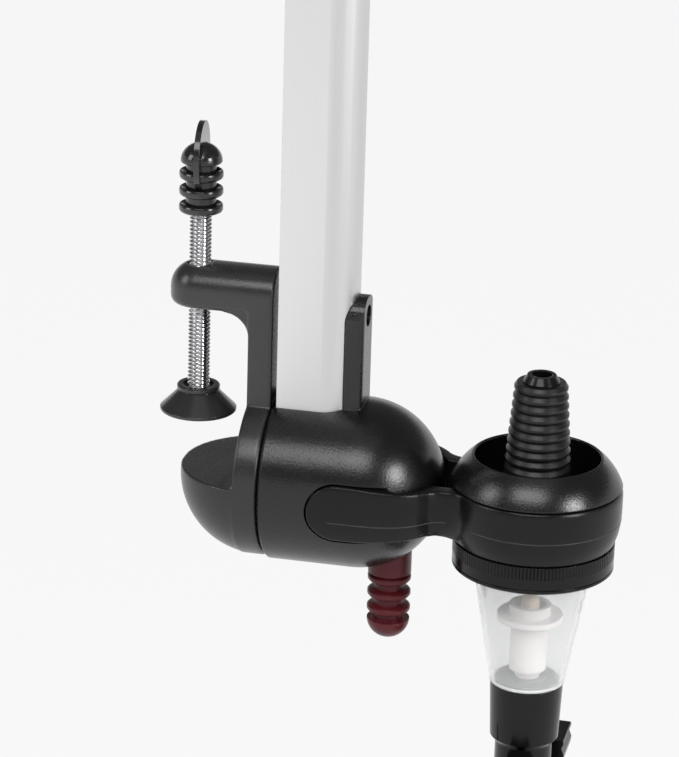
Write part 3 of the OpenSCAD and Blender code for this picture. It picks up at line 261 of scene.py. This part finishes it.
# Mesh helpers
def softened(node, voxel, rounds, keep):
    """Round a moulding's edges: an even mesh, smoothed and thinned out again."""
    obj = nodes[node]
    remesh = obj.modifiers.new("even", "REMESH")
    remesh.mode = "VOXEL"
    remesh.voxel_size = voxel * MM
    remesh.use_smooth_shade = True
    smooth = obj.modifiers.new("rounded", "SMOOTH")
    smooth.factor = 0.5
    smooth.iterations = rounds
    thin = obj.modifiers.new("thinned", "DECIMATE")
    thin.ratio = keep


softened("yoke", voxel=0.4, rounds=10, keep=0.2)
softened("clamp_frame", voxel=0.45, rounds=8, keep=0.2)


def new_piece(name, verts, faces, slot, body, replaces=(), smooth_angle=40.0, material=None):
    """A mesh piece from points in millimetres, with edges sharper than smooth_angle kept."""
    mesh = bpy.data.meshes.new(name)
    mesh.from_pydata([tuple(c * MM for c in v) for v in verts], [], faces)
    mesh.update()
    obj = bpy.data.objects.new(name, mesh)
    bpy.context.scene.collection.objects.link(obj)
    bm = bmesh.new()
    bm.from_mesh(mesh)
    bmesh.ops.remove_doubles(bm, verts=bm.verts, dist=1e-7)
    bmesh.ops.recalc_face_normals(bm, faces=bm.faces)
    for f in bm.faces:
        f.smooth = True
    for e in bm.edges:
        if len(e.link_faces) == 2 and e.calc_face_angle(0.0) > math.radians(smooth_angle):
            e.smooth = False
    bm.to_mesh(mesh)
    bm.free()
    mesh.materials.append(mats[material or slot])
    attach(obj, body)
    if replaces:
        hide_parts(*replaces)
    return obj


def circle(count):
    """Angles of count even steps around a full turn."""
    return [2 * math.pi * i / count for i in range(count)]


def tube_faces(rows, count):
    """Quads between rows of count points each, with every row closed to a loop."""
    faces = []
    for i in range(rows - 1):
        for k in range(count):
            n = (k + 1) % count
            faces.append((i * count + k, i * count + n, (i + 1) * count + n, (i + 1) * count + k))
    return faces


def end_faces(rows, count):
    """The two faces that close such a tube."""
    return [tuple(range(count))[::-1], tuple(range((rows - 1) * count, rows * count))]


def revolved(profile, steps, centre=(0.0, 0.0)):
    """Vertices and faces of a profile of (radius, z) turned about a vertical axis."""
    verts, faces, rows = [], [], []
    for r, z in profile:
        if r < 1e-6:
            rows.append([len(verts)])
            verts.append((*centre, z))
        else:
            rows.append(list(range(len(verts), len(verts) + steps)))
            verts += [(centre[0] + r * math.cos(a), centre[1] + r * math.sin(a), z) for a in circle(steps)]
    for low, high in zip(rows, rows[1:]):
        for i in range(steps):
            j = (i + 1) % steps
            ring = [low[i % len(low)], low[j % len(low)], high[j % len(high)], high[i % len(high)]]
            face = [v for k, v in enumerate(ring) if v not in ring[:k]]
            if len(face) > 2:
                faces.append(face)
    return verts, faces


# Threaded rod: a cylinder whose radius follows the thread along each turn
THREAD_PITCH, THREAD_DEPTH, CREST_GAP = 1.411, 0.7, 0.02
FLANK_SLOPE, FLANK_START = 1.25, 0.1


def thread_radius(turn, minor, major):
    """Radius of a thread with a flat root and crest, by its place along a turn."""
    place = abs(2 * (turn % 1.0) - 1)
    return minor + (major - minor) * min(1.0, max(0.0, FLANK_SLOPE * place - FLANK_START))


def thread(z0, z1, major, minor, pitch, steps=36, rows_per_turn=8):
    """A threaded rod about the Z axis, from z0 to z1."""
    spans = int(rows_per_turn * (z1 - z0) / pitch)
    verts = []
    for i in range(spans + 1):
        z = z0 + (z1 - z0) * i / spans
        for k, a in enumerate(circle(steps)):
            r = thread_radius((z - z0) / pitch - k / steps, minor, major)
            verts.append((r * math.cos(a), r * math.sin(a), z))
    return verts, end_faces(spans + 1, steps) + tube_faces(spans + 1, steps)


rod_lo, rod_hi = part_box("clamp_rod")
crest = rod_hi.x / MM - CREST_GAP
verts, faces = thread(rod_lo.z / MM, rod_hi.z / MM, crest, crest - THREAD_DEPTH, THREAD_PITCH)
new_piece("clamp_thread", verts, faces, "zinc", "clamp_screw", ("clamp_rod",), smooth_angle=30.0,
          material="thread_zinc")


# Springs: smooth coils of even pitch, in place of the spring nodes
def coil(box, wire, turns, steps=32, sides=12):
    """A helix of round wire inside a node's box, whose own wire has six sides."""
    lo, hi = (corner / MM for corner in box)
    centre, r = (lo + hi) / 2, (hi.x - lo.x - wire) / 2
    inset = wire / 2 * math.sin(math.radians(60))
    spans, verts = turns * steps, []
    for i in range(spans + 1):
        a = 2 * math.pi * i / steps
        z = lo.z + inset + (hi.z - lo.z - 2 * inset) * i / spans
        for b in circle(sides):
            out = r + wire / 2 * math.cos(b)
            verts.append((centre.x + out * math.cos(a), centre.y + out * math.sin(a),
                          z + wire / 2 * math.sin(b)))
    return verts, tube_faces(spans + 1, sides) + end_faces(spans + 1, sides)


# Node, body, joint, wire, turns, and the end that moves: 0 is the low one and 1 the high one
SPRINGS = (
    ("lock_spring", "lock", "lock_pull", 0.9, 3, 1),
    ("return_spring", "valve", "dispense_push", 1.0, 10, 0),
    ("rest_spring", "bottle_rest", "rest_lift", 1.5, 9, 0),
)
for spring, body, joint, wire, turns, moving_end in SPRINGS:
    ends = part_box(spring)
    verts, faces = coil(ends, wire, turns)
    obj = new_piece(spring + "_wire", verts, faces, slot_of[spring], body, (spring,), smooth_angle=50.0)
    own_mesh(obj)

# Mould line of the yoke: a fine ridge along the arm on each side and around the ring, in a lighter grey that
# paints the ridge's highlight
LINE_UP, LINE_W, LINE_H, LINE_SINK = 9.1, 0.5, 0.14, 0.05
LINE_POINTS, LINE_END = 6, 0.2
OUTSIDE = 60
ARM_X = range(54, 95)
RING_DEGREES = range(-128, 129, 3)


def surface_point(tree, start, aim):
    """Where a ray from start towards aim first meets a surface, with the surface's normal."""
    start, aim = Vector(start) * MM, Vector(aim) * MM
    place, normal = tree.ray_cast(start, (aim - start).normalized())[:2]
    return (place / MM, normal) if place else None


def ridge(points):
    """A closed ridge of half-round section along points of (place, normal), low at both ends."""
    verts = []
    for (place, normal), before, after in zip(points, points[:1] + points, points[1:] + points[-1:]):
        side = (after[0] - before[0]).cross(normal).normalized()
        ease = LINE_END if place in (points[0][0], points[-1][0]) else 1.0
        for k in range(LINE_POINTS):
            a = math.pi * k / (LINE_POINTS - 1)
            out = LINE_H * ease * math.sin(a) - LINE_SINK
            verts.append(tuple(place + side * (LINE_W / 2 * math.cos(a)) + normal * out))
    return verts, tube_faces(len(points), LINE_POINTS) + end_faces(len(points), LINE_POINTS)


def mould_line(name, rays):
    """A ridge through the points where rays of (start, aim) meet the yoke."""
    points = [surface_point(yoke_tree, *ray) for ray in rays]
    verts, faces = ridge([p for p in points if p])
    new_piece("mould_line_" + name, verts, faces, "satin_black", "swivel_head", material="painted_highlight_black")


yoke_tree = BVHTree.FromPolygons([v.co for v in nodes["yoke"].data.vertices],
                                 [f.vertices for f in nodes["yoke"].data.polygons])
line_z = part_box("yoke")[0].z / MM + LINE_UP
cup_lo, cup_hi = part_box("cup_cap")
ring_x = (cup_lo.x + cup_hi.x) / 2 / MM
for side, name in ((-1, "front"), (1, "back")):
    mould_line(name, [((x, side * OUTSIDE, line_z), (x, 0, line_z)) for x in ARM_X])
mould_line("ring", [((ring_x + OUTSIDE * math.cos(a), OUTSIDE * math.sin(a), line_z), (ring_x, 0, line_z))
                    for a in map(math.radians, RING_DEGREES)])

# Foot rim of the clear chamber, which shows as a bright crescent above the nozzle; its pale, half-clear
# surface paints that crescent's highlight
# Its points are (radius, z) from the nozzle's top edge
FOOT_RIM = ((-1.2, 0.08), (-0.25, 0.08), (0.05, 0.3), (0.05, 0.75), (-0.2, 0.95), (-1.2, 0.95), (-1.2, 0.08))
nozzle_lo, nozzle_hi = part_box("nozzle")
foot_r, foot_z = (nozzle_hi.x - nozzle_lo.x) / 2 / MM, nozzle_hi.z / MM
verts, faces = revolved([(foot_r + r, foot_z + z) for r, z in FOOT_RIM], 96, (ring_x, 0.0))
new_piece("chamber_foot", verts, faces, "clear", "swivel_head", material="clear_painted_glint")

# Stage and light
FLOOR_Z, FLOOR_R, BEND_R = -0.42, 9.0, 3.0
BEND_STEPS, FLOOR_STEPS = 16, 64
FLOOR_COLOUR, FLOOR_ROUGH, GLOW_SHARE = (0.9, 0.9, 0.9, 1), 0.9, 0.9
WHITE = (1, 1, 1, 1)
WORLD_LEVEL = 0.16
LAMP_AIM = Vector((0.065, 0, 0.02))
# Name, azimuth and elevation in degrees, distance, width and height in metres, watts
SOFTBOXES = (
    ("right_box", 64, 22, 1.2, 0.37, 0.37, 7),
    ("front_box", 1, 48, 1.4, 0.94, 0.56, 8.6),
    ("left_box", -60, 30, 1.2, 0.4, 0.5, 3),
    ("top_box", 20, 80, 1.8, 1.2, 1.2, 1.5),
)
# Light that the photo's white table throws up: place, what it faces, width, height, watts
TABLE_CARD = (-0.5, -0.3, 0.009), (-0.5, -0.3, 1), 1.03, 1.4, 1.6


def area(name, place, aim, width, height, watts):
    data = bpy.data.lights.new(name, "AREA")
    data.energy = watts
    data.shape = "RECTANGLE"
    data.size, data.size_y = width, height
    obj = bpy.data.objects.new(name, data)
    bpy.context.scene.collection.objects.link(obj)
    obj.location = place
    obj.rotation_mode = "QUATERNION"
    obj.rotation_quaternion = (Vector(aim) - Vector(place)).to_track_quat("-Z", "Y")


def backdrop_rays(tree):
    """1 for camera, glossy and transmission rays, which see the pale backdrop as it is."""
    path = tree.nodes.new("ShaderNodeLightPath")
    out = path.outputs["Is Camera Ray"]
    for other in ("Is Glossy Ray", "Is Transmission Ray"):
        m = tree.nodes.new("ShaderNodeMath")
        m.operation = "MAXIMUM"
        tree.links.new(out, m.inputs[0])
        tree.links.new(path.outputs[other], m.inputs[1])
        out = m.outputs[0]
    return out


def floor_material():
    """Pale and matt, with a glow for the rays that look at the backdrop."""
    mat = bpy.data.materials.new("floor")
    mat.use_nodes = True
    tree = mat.node_tree
    shader = tree.nodes["Principled BSDF"]
    shader.inputs["Base Color"].default_value = FLOOR_COLOUR
    shader.inputs["Roughness"].default_value = FLOOR_ROUGH
    glow = tree.nodes.new("ShaderNodeEmission")
    glow.inputs["Color"].default_value = WHITE
    mix = tree.nodes.new("ShaderNodeMixShader")
    scale = tree.nodes.new("ShaderNodeMath")
    scale.operation = "MULTIPLY"
    scale.inputs[1].default_value = GLOW_SHARE
    tree.links.new(backdrop_rays(tree), scale.inputs[0])
    tree.links.new(scale.outputs[0], mix.inputs["Fac"])
    tree.links.new(shader.outputs[0], mix.inputs[1])
    tree.links.new(glow.outputs[0], mix.inputs[2])
    tree.links.new(mix.outputs[0], tree.nodes["Material Output"].inputs["Surface"])
    return mat


def make_stage():
    """A round floor that bends up into a low backdrop, the world and the lamps."""
    bend = [math.pi / 2 * i / BEND_STEPS for i in range(BEND_STEPS + 1)]
    profile = [(FLOOR_R + BEND_R * math.sin(a), BEND_R * (1 - math.cos(a))) for a in bend]
    verts, faces = revolved([(0.0, 0.0)] + profile, FLOOR_STEPS)
    mesh = bpy.data.meshes.new("floor")
    mesh.from_pydata(verts, [], faces)
    mesh.shade_smooth()
    mesh.materials.append(floor_material())
    floor = bpy.data.objects.new("floor", mesh)
    floor.location = (0, 0, FLOOR_Z)
    bpy.context.scene.collection.objects.link(floor)
    world = bpy.data.worlds.new("world")
    bpy.context.scene.world = world
    world.use_nodes = True
    back = world.node_tree.nodes["Background"]
    back.inputs["Color"].default_value = WHITE
    back.inputs["Strength"].default_value = WORLD_LEVEL
    for name, azimuth, elevation, distance, width, height, watts in SOFTBOXES:
        way = direction(math.radians(azimuth), math.radians(elevation))
        area(name, LAMP_AIM + way * distance, LAMP_AIM, width, height, watts)
    area("table_card", *TABLE_CARD)


make_camera()
make_stage()
bpy.context.scene.view_settings.view_transform = "Standard"
